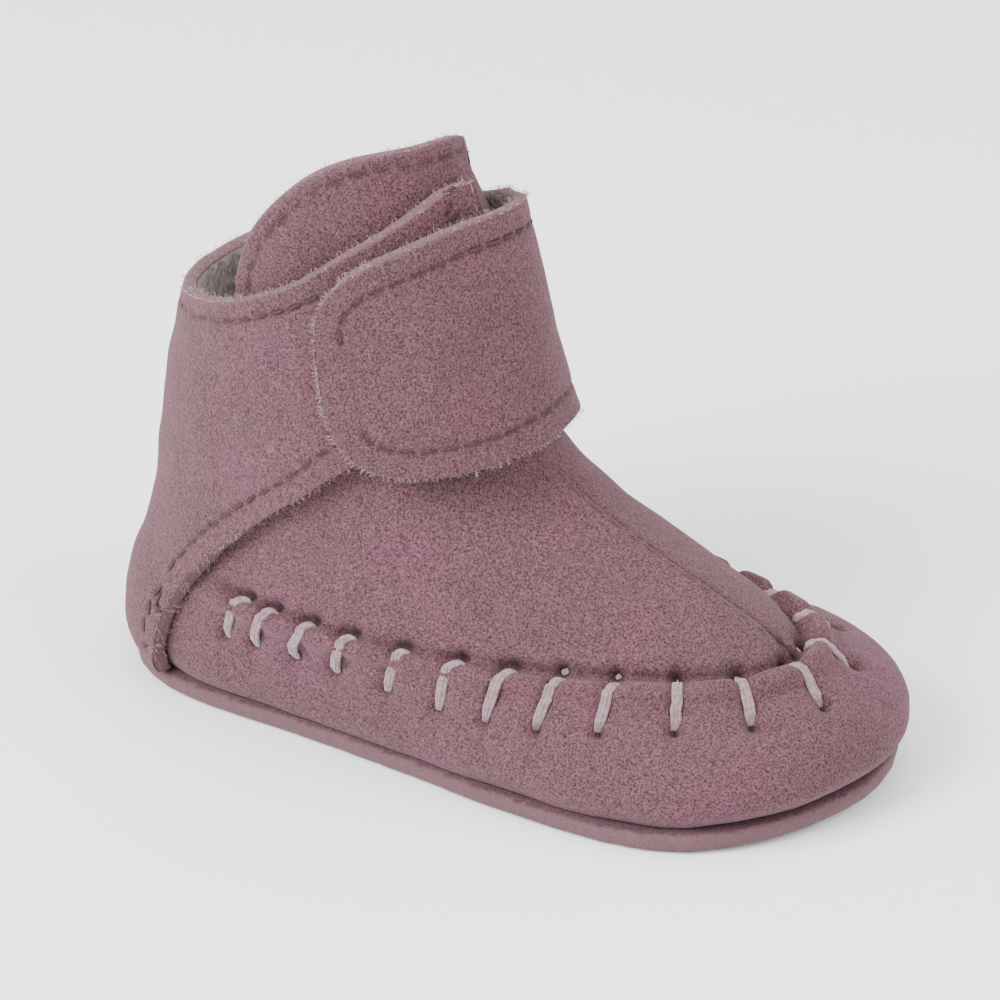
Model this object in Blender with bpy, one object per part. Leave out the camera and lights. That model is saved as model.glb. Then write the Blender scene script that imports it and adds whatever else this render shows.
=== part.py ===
"""Baby moccasin bootie, right shoe, empty and standing on its sole.

Frame: X runs from heel to toe, Y towards the inner (medial) side of the foot, Z up.
The origin is on the floor, half way along the sole.
Sizes are in millimetres. Each mesh is written in metres.

Turn is the angle round the shoe seen from above, in degrees:
0 is the back of the heel, 90 the outer (lateral) side, 180 the toe, 270 the inner side.
Level is the number of a form section, counted from the wall's foot upwards.
"""

from collections import namedtuple
from math import acos, cos, radians, sin

import bmesh
import bpy
from mathutils import Vector

MM = 0.001

# Sole
SOLE_LENGTH = 120.0
BALL_WIDTH = 57.0
HEEL_WIDTH = 46.5
SOLE_THICKNESS = 3.0
SOLE_EDGE_ROUND = 0.9
TOE_SPRING = 1.6
HEEL_LIFT = 0.8
TOE_SWING = 1.6
HEEL_FULLNESS = 0.88
TOE_FULLNESS = 0.94
HEEL_TUCK = 1.4
TOE_BULGE = 1.3

# Rubber grips behind the sole's two windows
WINDOW_DEPTH = 1.8
GRIP_THICKNESS = 1.5
RIB_PITCH = 1.8
RIB_HEIGHT = 0.6
RIB_CAP_SHARE = 0.5
HEEL_WINDOW_LENGTH = 29.0
HEEL_WINDOW_WIDTH = 28.5
HEEL_WINDOW_BACK = 12.3
FOREFOOT_WINDOW_LENGTH = 45.0
FOREFOOT_WINDOW_WIDTH = 36.0
FOREFOOT_WINDOW_BACK = 65.0

# Upper, measured on its outer face
UPPER_WALL = 2.0
SEAM_HEIGHT = 18.0
SEAM_TOE_RISE = 0.6
INSTEP_HEIGHT = 38.0
ANKLE_WIDTH = 38.0
WAIST_WIDTH = 49.0
HEEL_HEIGHT = 61.0
TONGUE_HEIGHT = 90.3
SEAM_RIDGE = 1.1
CENTRE_SEAM_STEP = 0.8

# Layers laid over the upper
TONGUE_THICKNESS = 1.9
TONGUE_FOLD = 4.5
CUFF_THICKNESS = 2.4
STRAP_THICKNESS = 2.4
INSOLE_THICKNESS = 2.0
FIT_GAP = 0.3
LAYER_GAP = 0.5

# How finely the curved pieces are drawn
TURN_STEPS = 54
UPPER_ROWS = 7
TONGUE_COLUMNS = 32
TONGUE_ROWS = 7
CUFF_COLUMNS = 50
CUFF_ROWS = 15
STRAP_COLUMNS = 26
STRAP_ROWS = 8
ROW_CROWDING = 1.25

Outline = namedtuple("Outline", "along lateral medial")

# Half widths of the sole as shares of the local width, along as a share of the length
SOLE_OUTLINE = (
    Outline(0.00, -0.02, 0.02),
    Outline(0.02, 0.21, 0.27),
    Outline(0.06, 0.37, 0.385),
    Outline(0.12, 0.463, 0.467),
    Outline(0.20, 0.502, 0.498),
    Outline(0.30, 0.495, 0.468),
    Outline(0.40, 0.478, 0.428),
    Outline(0.50, 0.468, 0.437),
    Outline(0.60, 0.480, 0.468),
    Outline(0.70, 0.490, 0.500),
    Outline(0.80, 0.478, 0.500),
    Outline(0.87, 0.420, 0.485),
    Outline(0.93, 0.305, 0.412),
    Outline(0.98, 0.128, 0.250),
    Outline(1.00, -0.050, 0.050),
)

# Half widths of the two windows as shares of the window's own width
HEEL_WINDOW = (
    Outline(0.00, 0.09, -0.09),
    Outline(0.06, 0.30, 0.11),
    Outline(0.20, 0.46, 0.29),
    Outline(0.45, 0.58, 0.40),
    Outline(0.68, 0.60, 0.41),
    Outline(0.87, 0.53, 0.32),
    Outline(0.97, 0.41, 0.18),
    Outline(1.00, 0.12, -0.12),
)
FOREFOOT_WINDOW = (
    Outline(0.00, 0.11, -0.11),
    Outline(0.06, 0.33, 0.13),
    Outline(0.20, 0.49, 0.31),
    Outline(0.40, 0.54, 0.43),
    Outline(0.60, 0.51, 0.48),
    Outline(0.80, 0.39, 0.43),
    Outline(0.94, 0.18, 0.28),
    Outline(1.00, -0.04, 0.04),
)

# Sections of the side wall below the seam: height as a share of the seam's height above
# the sole, lean as a share of the way from the sole's edge in to the seam, bulge in millimetres
WallSection = namedtuple("WallSection", "height lean bulge")
WALL_SECTIONS = (
    WallSection(0.00, 0.06, -0.9),
    WallSection(0.20, 0.00, 0.4),
    WallSection(0.50, 0.13, 0.3),
    WallSection(0.78, 0.47, 0.3),
    WallSection(1.00, 1.00, 0.0),
)

# Sections above the seam. Back and front heights are shares of the heel height and of
# the height range named in the column top; back and front are shares of the sole's length
# from its middle; width runs from the waist's (0) to the ankle's (1)
FormSection = namedtuple("FormSection", "rise_back rise_front back front width widest")
SEAM_SECTION = FormSection(0.00, 0.00, -0.464, 0.408, -0.09, -0.110)
VAMP_SECTIONS = (
    FormSection(0.115, 0.22, -0.456, 0.345, 0.28, -0.100),
    FormSection(0.205, 0.58, -0.448, 0.225, 0.56, -0.120),
    FormSection(0.305, 1.00, -0.440, 0.096, 0.80, -0.150),
)
SHAFT_SECTIONS = (
    FormSection(0.47, 0.16, -0.434, 0.040, 0.90, -0.175),
    FormSection(0.65, 0.37, -0.424, 0.014, 0.97, -0.190),
    FormSection(0.83, 0.60, -0.408, -0.012, 1.00, -0.200),
    FormSection(1.00, 0.80, -0.390, -0.038, 1.00, -0.210),
    FormSection(1.70, 1.04, -0.350, -0.066, 0.97, -0.215),
)

# Outlines of the pieces wrapped round the ankle. Low and high are the heights of the
# piece's lower and upper edge as shares of the heel height, each at its own turn
Edge = namedtuple("Edge", "low_turn low high_turn high")
CUFF_EDGES = (
    Edge(-140, 0.705, -140, 1.235),
    Edge(-122, 0.650, -124, 1.190),
    Edge(-104, 0.560, -106, 1.145),
    Edge(-88, 0.450, -90, 1.110),
    Edge(-76, 0.345, -78, 1.085),
    Edge(-71.5, 0.287, -73, 1.075),
    Edge(-67, 0.225, -68, 1.065),
    Edge(-62, 0.130, -60, 1.050),
    Edge(-60, 0.054, -52, 1.040),
    Edge(-45, 0.054, -40, 1.022),
    Edge(-30, 0.054, -27, 1.010),
    Edge(-15, 0.054, -14, 1.002),
    Edge(0, 0.054, 0, 1.000),
    Edge(15, 0.054, 14, 1.002),
    Edge(30, 0.054, 27, 1.012),
    Edge(46, 0.054, 39, 1.030),
    Edge(46.5, 0.088, 43, 1.037),
    Edge(47.3, 0.150, 47, 1.044),
    Edge(48.6, 0.250, 53, 1.054),
    Edge(51.5, 0.335, 60, 1.066),
    Edge(57, 0.410, 68, 1.082),
    Edge(65, 0.475, 77, 1.106),
    Edge(76, 0.555, 88, 1.140),
    Edge(88, 0.630, 100, 1.178),
    Edge(103, 0.715, 114, 1.240),
    Edge(120, 0.775, 130, 1.295),
    Edge(138, 0.800, 147, 1.345),
    Edge(156, 0.820, 161, 1.378),
    Edge(170, 0.850, 172, 1.375),
)
STRAP_EDGES = (
    Edge(105.5, 0.920, 105.5, 1.015),
    Edge(107.0, 0.845, 107.5, 1.095),
    Edge(110.5, 0.790, 111.5, 1.160),
    Edge(116, 0.752, 117, 1.208),
    Edge(123, 0.736, 124, 1.242),
    Edge(134, 0.730, 135, 1.272),
    Edge(150, 0.733, 151, 1.298),
    Edge(165, 0.742, 166, 1.303),
    Edge(180, 0.752, 180, 1.295),
    Edge(195, 0.748, 195, 1.275),
    Edge(208, 0.730, 208, 1.252),
    Edge(219, 0.706, 219, 1.236),
)
# Upper edge of the tongue, as shares of the tongue's height
TongueTop = namedtuple("TongueTop", "turn high")
TONGUE_TOP = (
    TongueTop(68, 0.773),
    TongueTop(73, 0.838),
    TongueTop(82, 0.885),
    TongueTop(94, 0.932),
    TongueTop(110, 0.974),
    TongueTop(130, 0.997),
    TongueTop(155, 1.000),
    TongueTop(180, 0.992),
    TongueTop(196, 0.962),
    TongueTop(212, 0.930),
    TongueTop(232, 0.892),
    TongueTop(252, 0.855),
    TongueTop(270, 0.830),
    TongueTop(284, 0.798),
    TongueTop(292, 0.750),
)
# Upper edge of the upper, hidden under cuff and strap, as a share of the heel height
UPPER_TOP_BACK = 0.50
UPPER_TOP_FRONT = 0.82
# How late the sections rise towards the front: 1 is a straight slope
HEIGHT_BEND = 1.35
# Turns between which the strap climbs from the cuff's layer to the layer over it
STRAP_CLIMB_START = 218.0
STRAP_CLIMB_END = 186.0
# Turns at which the seam ridge comes out from under the cuff
RIDGE_STARTS_OUTER = 50.0
RIDGE_STARTS_INNER = 280.0
RIDGE_FADE = 7.0


def smooth(low, high, value):
    """Rise softly from 0 to 1 as value goes from low to high."""
    share = min(max((value - low) / (high - low), 0.0), 1.0)
    return share * share * (3.0 - 2.0 * share)


def blend(first, second, share):
    return first + (second - first) * share


def curve_through(positions, values, at):
    """Smooth curve through a short table, with Catmull-Rom slopes."""
    last = len(positions) - 1
    if at <= positions[0]:
        return values[0]
    if at >= positions[last]:
        return values[last]
    i = max(k for k in range(last) if positions[k] <= at)
    before = max(i - 1, 0)
    after = min(i + 2, last)
    gap = positions[i + 1] - positions[i]
    share = (at - positions[i]) / gap
    slope_in = (values[i + 1] - values[before]) / (positions[i + 1] - positions[before]) * gap
    slope_out = (values[after] - values[i]) / (positions[after] - positions[i]) * gap
    return (
        values[i] * (2 * share**3 - 3 * share**2 + 1)
        + slope_in * (share**3 - 2 * share**2 + share)
        + values[i + 1] * (-2 * share**3 + 3 * share**2)
        + slope_out * (share**3 - share**2)
    )


def half_width(table, along, side):
    """Half width at a share of the length, with round ends."""
    angles = [acos(1.0 - 2.0 * row.along) for row in table]
    values = [getattr(row, side) for row in table]
    return curve_through(angles, values, acos(1.0 - 2.0 * min(max(along, 0.0), 1.0)))


def side_of(turn):
    """Name and sign of the side of the foot that a turn lies on."""
    if turn % 360.0 < 180.0:
        return "lateral", -1.0
    return "medial", 1.0


def along_at(turn, back, widest, front):
    """Place along X at a turn, on a loop from back to front."""
    c = cos(radians(turn))
    if c > 0.0:
        return widest - (widest - back) * c
    return widest - (front - widest) * c


def local_width(x):
    """Width of the sole at X, from the heel's to the ball's."""
    return blend(HEEL_WIDTH, BALL_WIDTH, smooth(-0.30, 0.10, x / SOLE_LENGTH))


def sole_outline(turn):
    x = along_at(turn, -0.5 * SOLE_LENGTH, -0.1 * SOLE_LENGTH, 0.5 * SOLE_LENGTH)
    side, sign = side_of(turn)
    share = half_width(SOLE_OUTLINE, x / SOLE_LENGTH + 0.5, side)
    return Vector((x, sign * share * local_width(x), 0.0))


def inward(outline, turn):
    """Level direction that points into an outline at a turn."""
    step = 1.5
    along = outline(turn + step) - outline(turn - step)
    return Vector((-along.y, along.x, 0.0)).normalized()


def inset_point(outline, turn, inset):
    return outline(turn) + inward(outline, turn) * inset


def sole_spring(x):
    """Lift of the whole shoe's underside at X: flat, with a raised toe and heel edge."""
    toe = smooth(0.22, 0.62, x / SOLE_LENGTH)
    heel = smooth(-0.36, -0.62, x / SOLE_LENGTH)
    return TOE_SPRING * toe + HEEL_LIFT * heel


def wall_push(section, turn):
    """How far a wall section stands past its usual line: out at the toe, in at the heel."""
    from_heel = abs((turn + 180.0) % 360.0 - 180.0)
    toe = TOE_BULGE * smooth(125.0, 165.0, from_heel) * smooth(0.0, 0.2, section.height)
    return toe - HEEL_TUCK * smooth(62.0, 30.0, from_heel)


def wall_point(section, turn):
    """Point of a wall section, between the sole's edge and the seam."""
    edge = inset_point(sole_outline, turn, -section.bulge - wall_push(section, turn))
    seam = form_point(SEAM_SECTION, turn, SEAM_HEIGHT, SEAM_HEIGHT)
    along = edge.x / SOLE_LENGTH + 0.5
    top = SEAM_HEIGHT + SEAM_TOE_RISE * smooth(0.45, 1.0, along)
    point = edge.lerp(seam, section.lean)
    point.z = blend(SOLE_THICKNESS + FIT_GAP, top, section.height)
    return point


def form_point(section, turn, front_low, front_high):
    """Point of a section above the seam, an egg from back to front."""
    back = section.back * SOLE_LENGTH
    front = section.front * SOLE_LENGTH
    x = along_at(turn, back, section.widest * SOLE_LENGTH, front)
    half = 0.5 * blend(WAIST_WIDTH, ANKLE_WIDTH, section.width)
    fullness = HEEL_FULLNESS if cos(radians(turn)) > 0.0 else TOE_FULLNESS
    across = abs(sin(radians(turn))) ** fullness
    y = side_of(turn)[1] * half * across + TOE_SWING * smooth(0.0, 0.42, x / SOLE_LENGTH)
    low = blend(SEAM_HEIGHT, HEEL_HEIGHT, section.rise_back)
    high = blend(front_low, front_high, section.rise_front)
    share = max((x - back) / (front - back), 0.0)
    return Vector((x, y, blend(low, high, share**HEIGHT_BEND)))


def form_net():
    """Control points of the upper's outer face: one row for each section."""
    turns = [360.0 * i / TURN_STEPS for i in range(TURN_STEPS)]
    seam_front = SEAM_HEIGHT + SEAM_TOE_RISE
    net = [[wall_point(row, turn) for turn in turns] for row in WALL_SECTIONS]
    for row in VAMP_SECTIONS:
        net.append([form_point(row, turn, seam_front, INSTEP_HEIGHT) for turn in turns])
    for row in SHAFT_SECTIONS:
        net.append([form_point(row, turn, INSTEP_HEIGHT, TONGUE_HEIGHT) for turn in turns])
    return net


NET = form_net()
TOP_LEVEL = len(NET) - 1
SEAM_LEVEL = len(WALL_SECTIONS) - 1


def column_point(column, level):
    rows = list(range(TOP_LEVEL + 1))
    points = [NET[row][column % TURN_STEPS] for row in rows]
    return Vector([curve_through(rows, [p[axis] for p in points], level) for axis in range(3)])


def form(turn, level):
    """Point of the upper's outer face at a turn and a level."""
    place = (turn % 360.0) / 360.0 * TURN_STEPS
    column = int(place)
    share = place - column
    if share < 1e-9:
        return column_point(column, level)
    points = [column_point(column + k, level) for k in (-1, 0, 1, 2)]
    steps = [0.0, 1.0, 2.0, 3.0]
    return Vector([curve_through(steps, [p[axis] for p in points], 1.0 + share) for axis in range(3)])


def form_normal(turn, level):
    """Outward direction of the upper's outer face."""
    low = max(level - 0.12, 0.0)
    high = min(level + 0.12, TOP_LEVEL)
    round_step = form(turn + 2.0, level) - form(turn - 2.0, level)
    up_step = form(turn, high) - form(turn, low)
    return round_step.cross(up_step).normalized()


def layer_point(turn, level, offset):
    """Point on a layer at a distance outside the upper's outer face."""
    point = form(turn, level) + form_normal(turn, level) * offset
    point.z = max(point.z, SOLE_THICKNESS + FIT_GAP)
    return point


def level_at(turn, height):
    """Level at which the form reaches a height."""
    low = 0.0
    high = float(TOP_LEVEL)
    for _ in range(30):
        middle = 0.5 * (low + high)
        if form(turn, middle).z < height:
            low = middle
        else:
            high = middle
    return 0.5 * (low + high)


def upper_top(turn):
    """Level of the upper's top edge, under the cuff at the back and the strap in front."""
    share = smooth(20.0, 105.0, min(turn % 360.0, 360.0 - turn % 360.0))
    return level_at(turn, HEEL_HEIGHT * blend(UPPER_TOP_BACK, UPPER_TOP_FRONT, share))


def clear_scene():
    for item in list(bpy.data.objects):
        bpy.data.objects.remove(item, do_unlink=True)


def material(name, colour, roughness):
    made = bpy.data.materials.new(name)
    made.use_nodes = True
    shader = made.node_tree.nodes["Principled BSDF"]
    shader.inputs["Base Color"].default_value = (*colour, 1.0)
    shader.inputs["Roughness"].default_value = roughness
    shader.inputs["Metallic"].default_value = 0.0
    return made


def finish_mesh(name, bm, finish, sharp=40.0):
    """Write a mesh as an object, lifted by the sole's spring and scaled to metres."""
    bmesh.ops.remove_doubles(bm, verts=bm.verts, dist=1e-4)
    bmesh.ops.recalc_face_normals(bm, faces=bm.faces)
    for vert in bm.verts:
        vert.co.z += sole_spring(vert.co.x)
        vert.co *= MM
    mesh = bpy.data.meshes.new(name)
    bm.to_mesh(mesh)
    bm.free()
    mesh.materials.append(finish)
    mesh.shade_smooth()
    mesh.set_sharp_from_angle(angle=radians(sharp))
    made = bpy.data.objects.new(name, mesh)
    bpy.context.collection.objects.link(made)
    return made


def close_ends(bm, ring):
    """Close a ring with a strip of faces from side to side, as its points mirror in pairs."""
    count = len(ring)
    bm.faces.new((ring[0], ring[1], ring[-1]))
    for i in range(1, count // 2 - 1):
        bm.faces.new((ring[i], ring[i + 1], ring[count - i - 1], ring[count - i]))
    middle = count // 2
    bm.faces.new((ring[middle - 1], ring[middle], ring[middle + 1]))


def plate(outline, rings):
    """Closed plate: rings are (inset, height) pairs from its underside to its top."""
    bm = bmesh.new()
    turns = [360.0 * i / TURN_STEPS for i in range(TURN_STEPS)]
    made = []
    for inset, height in rings:
        points = [inset_point(outline, turn, inset) for turn in turns]
        made.append([bm.verts.new((p.x, p.y, height)) for p in points])
    for low, high in zip(made, made[1:]):
        for i in range(TURN_STEPS):
            j = (i + 1) % TURN_STEPS
            bm.faces.new((low[i], low[j], high[j], high[i]))
    close_ends(bm, made[0])
    close_ends(bm, made[-1])
    return bm


def window_outline(table, back, length, width):
    """Outline of a window that starts a distance from the sole's back edge."""

    def outline(turn):
        start = back - 0.5 * SOLE_LENGTH
        x = along_at(turn, start, start + 0.5 * length, start + length)
        side, sign = side_of(turn)
        return Vector((x, sign * width * half_width(table, (x - start) / length, side), 0.0))

    return outline


def grip_section(table, width, along):
    """Across limits of a grip at a share of its length, inside its window."""
    lateral, medial = [width * half_width(table, along, side) for side in ("lateral", "medial")]
    return FIT_GAP - lateral, medial - FIT_GAP


def make_grip(name, table, back, length, width, finish):
    """Rubber plate with ribs across the foot, lofted from one section for each rib edge."""
    start = back - 0.5 * SOLE_LENGTH + FIT_GAP
    span = length - 2.0 * FIT_GAP
    top = WINDOW_DEPTH - FIT_GAP
    root = WINDOW_DEPTH - GRIP_THICKNESS + RIB_HEIGHT
    tip = root - RIB_HEIGHT
    count = int((span - RIB_PITCH) / RIB_PITCH)
    margin = 0.5 * (span - count * RIB_PITCH)
    stations = [(0.15, root), (margin * 0.5, root), (margin, root)]
    for rib in range(count):
        edge = margin + rib * RIB_PITCH
        cap = RIB_PITCH * RIB_CAP_SHARE
        slope = 0.25 * (RIB_PITCH - cap)
        stations += [(edge + slope, tip), (edge + slope + cap, tip), (edge + RIB_PITCH - slope, root)]
        stations += [(edge + RIB_PITCH, root)]
    stations += [(span - margin * 0.5, root), (span - 0.15, root)]
    bm = bmesh.new()
    rings = []
    for place, low in stations:
        along = (place + FIT_GAP) / length
        left, right = grip_section(table, width, along)
        x = start + place
        corners = ((left, low), (right, low), (right, top), (left, top))
        rings.append([bm.verts.new((x, y, z)) for y, z in corners])
    for first, second in zip(rings, rings[1:]):
        for i in range(4):
            j = (i + 1) % 4
            bm.faces.new((first[i], first[j], second[j], second[i]))
    bm.faces.new(rings[0])
    bm.faces.new(rings[-1])
    return finish_mesh(name, bm, finish, sharp=20.0)


def make_outsole(finish, windows):
    """Suede sole with a rounded edge and two windows cut from below."""
    rings = (
        (SOLE_EDGE_ROUND, 0.0),
        (0.25 * SOLE_EDGE_ROUND, 0.25 * SOLE_EDGE_ROUND),
        (0.0, SOLE_EDGE_ROUND),
        (0.0, SOLE_THICKNESS - SOLE_EDGE_ROUND),
        (0.25 * SOLE_EDGE_ROUND, SOLE_THICKNESS - 0.25 * SOLE_EDGE_ROUND),
        (SOLE_EDGE_ROUND, SOLE_THICKNESS),
    )
    sole = finish_mesh("outsole", plate(sole_outline, rings), finish)
    for name, outline in windows:
        cutter = finish_mesh(name, plate(outline, ((0.0, -2.0), (0.0, WINDOW_DEPTH))), finish)
        cutter.hide_render = True
        cutter.display_type = "WIRE"
        cut = sole.modifiers.new(name, "BOOLEAN")
        cut.operation = "DIFFERENCE"
        cut.solver = "EXACT"
        cut.object = cutter
    return sole


def make_insole(finish):
    """Padded sock lining that fills the floor of the shoe inside the wall."""

    def outline(turn):
        return layer_point(turn, 0.0, -UPPER_WALL)

    low = SOLE_THICKNESS + FIT_GAP
    rings = (
        (FIT_GAP + 0.5, low),
        (FIT_GAP + 0.1, low + 0.3 * INSOLE_THICKNESS),
        (FIT_GAP + 0.1, low + 0.8 * INSOLE_THICKNESS),
        (FIT_GAP + 0.6, low + INSOLE_THICKNESS),
    )
    return finish_mesh("insole", plate(outline, rings), finish)


def wrapped_shell(columns, closed):
    """Closed shell from columns of (outer, inner) point pairs; closed joins its two ends."""
    bm = bmesh.new()
    outer = [[bm.verts.new(pair[0]) for pair in column] for column in columns]
    inner = [[bm.verts.new(pair[1]) for pair in column] for column in columns]
    count = len(columns)
    rows = len(columns[0])
    for i in range(count if closed else count - 1):
        j = (i + 1) % count
        for k in range(rows - 1):
            bm.faces.new((outer[i][k], outer[j][k], outer[j][k + 1], outer[i][k + 1]))
            bm.faces.new((inner[i][k + 1], inner[j][k + 1], inner[j][k], inner[i][k]))
        bm.faces.new((outer[j][0], outer[i][0], inner[i][0], inner[j][0]))
        bm.faces.new((outer[i][-1], outer[j][-1], inner[j][-1], inner[i][-1]))
    if not closed:
        for i in (0, count - 1):
            for k in range(rows - 1):
                bm.faces.new((outer[i][k], outer[i][k + 1], inner[i][k + 1], inner[i][k]))
    return bm


def centre_seam(turn):
    """Height of the lapped centre seam: the outer half lies over the inner half."""
    away = 180.0 - turn
    if away < 0.0 or away > 14.0:
        return 0.0
    return CENTRE_SEAM_STEP * (1.0 - smooth(6.0, 14.0, away))


def ridge_share(turn):
    """Strength of the seam ridge: it dies away where the cuff lies over the heel."""
    outer = smooth(RIDGE_STARTS_OUTER, RIDGE_STARTS_OUTER + RIDGE_FADE, turn)
    inner = smooth(RIDGE_STARTS_INNER, RIDGE_STARTS_INNER - RIDGE_FADE, turn)
    return outer * inner


def make_upper(finish):
    """Hollow upper: gathered side wall, whip-stitched seam ridge and vamp."""
    step_turn = 178.8
    turns = sorted([360.0 * i / TURN_STEPS for i in range(TURN_STEPS)] + [step_turn])
    wall_levels = (0.0, 0.5, 1.0, 1.6, 2.3, 3.0, 3.6)
    ridge = ((SEAM_LEVEL - 0.12, 0.85), (SEAM_LEVEL + 0.06, 1.0), (SEAM_LEVEL + 0.20, -0.1))
    columns = []
    for turn in turns:
        top = upper_top(turn)
        lap = centre_seam(turn) if turn <= step_turn else 0.0
        column = [(level, 0.0) for level in wall_levels]
        for level, share in ridge:
            column.append((level, SEAM_RIDGE * share * ridge_share(turn)))
        first = ridge[-1][0]
        for i in range(1, UPPER_ROWS + 1):
            column.append((blend(first, top, i / UPPER_ROWS), lap))
        points = []
        for level, relief in column:
            inner = layer_point(turn, level, -UPPER_WALL)
            points.append((layer_point(turn, level, relief), inner))
        columns.append(points)
    return finish_mesh("upper", wrapped_shell(columns, True), finish, sharp=50.0)


def tongue_fold(turn, height):
    """How far the tongue's inner half folds in behind its centre seam, near the top."""
    across = smooth(181.0, 202.0, turn) * smooth(250.0, 226.0, turn)
    return TONGUE_FOLD * across * smooth(0.76, 0.93, height / TONGUE_HEIGHT)


def make_tongue(finish):
    """Tall tongue that carries the vamp on up the front of the ankle."""
    turns = [row.turn for row in TONGUE_TOP]
    highs = [row.high for row in TONGUE_TOP]
    columns = []
    for i in range(TONGUE_COLUMNS + 1):
        turn = blend(turns[0], turns[-1], i / TONGUE_COLUMNS)
        low = upper_top(turn) + 0.06
        high = level_at(turn, TONGUE_HEIGHT * curve_through(turns, highs, turn))
        lap = centre_seam(turn) if turn < 179.0 else 0.0
        column = []
        for k in range(TONGUE_ROWS + 1):
            level = blend(low, high, k / TONGUE_ROWS)
            pair = [layer_point(turn, level, offset) for offset in (lap, -TONGUE_THICKNESS)]
            for point in pair:
                point.y -= tongue_fold(turn, point.z)
            column.append(pair)
        columns.append(column)
    return finish_mesh("tongue", wrapped_shell(columns, False), finish, sharp=50.0)


def edge_columns(edges, count, rows, offsets):
    """Columns of a wrapped piece: its two edges follow the table, offsets give its faces."""
    places = list(range(len(edges)))
    columns = []
    for i in range(count + 1):
        place = (len(edges) - 1) * i / count
        row = Edge(*[curve_through(places, [edge[k] for edge in edges], place) for k in range(4)])
        low = level_at(row.low_turn, HEEL_HEIGHT * row.low)
        high = level_at(row.high_turn, HEEL_HEIGHT * row.high)
        column = []
        for k in range(rows + 1):
            rise = (k / rows) ** ROW_CROWDING
            turn = blend(row.low_turn, row.high_turn, rise)
            level = blend(low, high, rise)
            inner, outer = offsets(turn)
            column.append((layer_point(turn, level, outer), layer_point(turn, level, inner)))
        columns.append(column)
    return columns


def make_cuff(finish):
    """Heel counter and ankle cuff in one piece, with a wing on the outer side."""

    def offsets(turn):
        inner = LAYER_GAP + centre_seam(turn % 360.0)
        return inner, inner + CUFF_THICKNESS

    columns = edge_columns(CUFF_EDGES, CUFF_COLUMNS, CUFF_ROWS, offsets)
    return finish_mesh("cuff", wrapped_shell(columns, False), finish, sharp=50.0)


def make_strap(finish):
    """Closing strap: it runs on from the cuff's inner side, over the front and the wing."""

    def offsets(turn):
        climb = smooth(STRAP_CLIMB_START, STRAP_CLIMB_END, turn)
        over = LAYER_GAP + CUFF_THICKNESS + CENTRE_SEAM_STEP * smooth(196.0, 180.0, turn)
        over -= CENTRE_SEAM_STEP * smooth(172.0, 160.0, turn)
        inner = LAYER_GAP + climb * over
        return inner, inner + STRAP_THICKNESS

    columns = edge_columns(STRAP_EDGES, STRAP_COLUMNS, STRAP_ROWS, offsets)
    return finish_mesh("strap", wrapped_shell(columns, False), finish, sharp=50.0)


def main():
    clear_scene()
    suede = material("suede", (0.36, 0.22, 0.27), 0.95)
    sole_suede = material("sole_suede", (0.33, 0.19, 0.25), 0.95)
    rubber = material("grip_rubber", (0.15, 0.075, 0.11), 0.6)
    lining = material("lining", (0.45, 0.36, 0.36), 0.98)
    heel_size = (HEEL_WINDOW_BACK, HEEL_WINDOW_LENGTH, HEEL_WINDOW_WIDTH)
    forefoot_size = (FOREFOOT_WINDOW_BACK, FOREFOOT_WINDOW_LENGTH, FOREFOOT_WINDOW_WIDTH)
    windows = (
        ("heel_window_cutter", window_outline(HEEL_WINDOW, *heel_size)),
        ("forefoot_window_cutter", window_outline(FOREFOOT_WINDOW, *forefoot_size)),
    )
    make_outsole(sole_suede, windows)
    make_grip("heel_grip", HEEL_WINDOW, *heel_size, rubber)
    make_grip("forefoot_grip", FOREFOOT_WINDOW, *forefoot_size, rubber)
    make_insole(lining)
    make_upper(suede)
    make_tongue(suede)
    make_cuff(suede)
    make_strap(suede)


main()
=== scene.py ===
# %% [markdown]
# # A baby moccasin in suede
# The shoe is a soft bootie for a baby: a flat suede sole, a gathered side wall whip-stitched
# to a vamp with a lapped centre seam, a tall tongue, and an ankle cuff that runs on into a
# closing strap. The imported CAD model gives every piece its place. This lesson dresses the
# pieces one by one: it copies a CAD piece, smooths it, presses the seams into it and lays
# real threads on top.

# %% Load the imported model
import random
from math import atan2, cos, radians, sin

import bmesh
import bpy
import numpy as np
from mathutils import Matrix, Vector, geometry, noise
from mathutils.bvhtree import BVHTree


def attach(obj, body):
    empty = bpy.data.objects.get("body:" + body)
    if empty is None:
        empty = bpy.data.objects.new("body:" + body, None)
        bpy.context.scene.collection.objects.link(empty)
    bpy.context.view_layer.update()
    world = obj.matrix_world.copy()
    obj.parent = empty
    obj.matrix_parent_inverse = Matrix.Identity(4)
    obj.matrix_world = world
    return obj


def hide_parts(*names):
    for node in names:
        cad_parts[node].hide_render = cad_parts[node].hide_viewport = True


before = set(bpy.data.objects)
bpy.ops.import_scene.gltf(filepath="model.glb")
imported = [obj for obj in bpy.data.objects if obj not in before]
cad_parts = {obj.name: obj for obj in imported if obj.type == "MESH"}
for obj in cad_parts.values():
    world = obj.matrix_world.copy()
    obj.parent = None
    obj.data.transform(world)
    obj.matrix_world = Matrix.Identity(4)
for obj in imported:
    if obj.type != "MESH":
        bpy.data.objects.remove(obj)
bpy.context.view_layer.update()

MM = 0.001

# %% [markdown]
# ## Camera, floor and light
# A product shot of a small object is taken from about an arm's length with a long lens, so
# the shape is hardly distorted. The camera stands to the front of the outer side, 31 degrees
# up. A white world and three large area lights stand in for a studio tent: large lights
# close by give the soft shadows that let suede look soft.

# %% Camera
AZIMUTH = radians(29.0)
ELEVATION = radians(31.0)
DISTANCE = 0.65
LENS = 158.0
AIM = Vector((-0.0005, 0.0, 0.0335))


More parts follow.
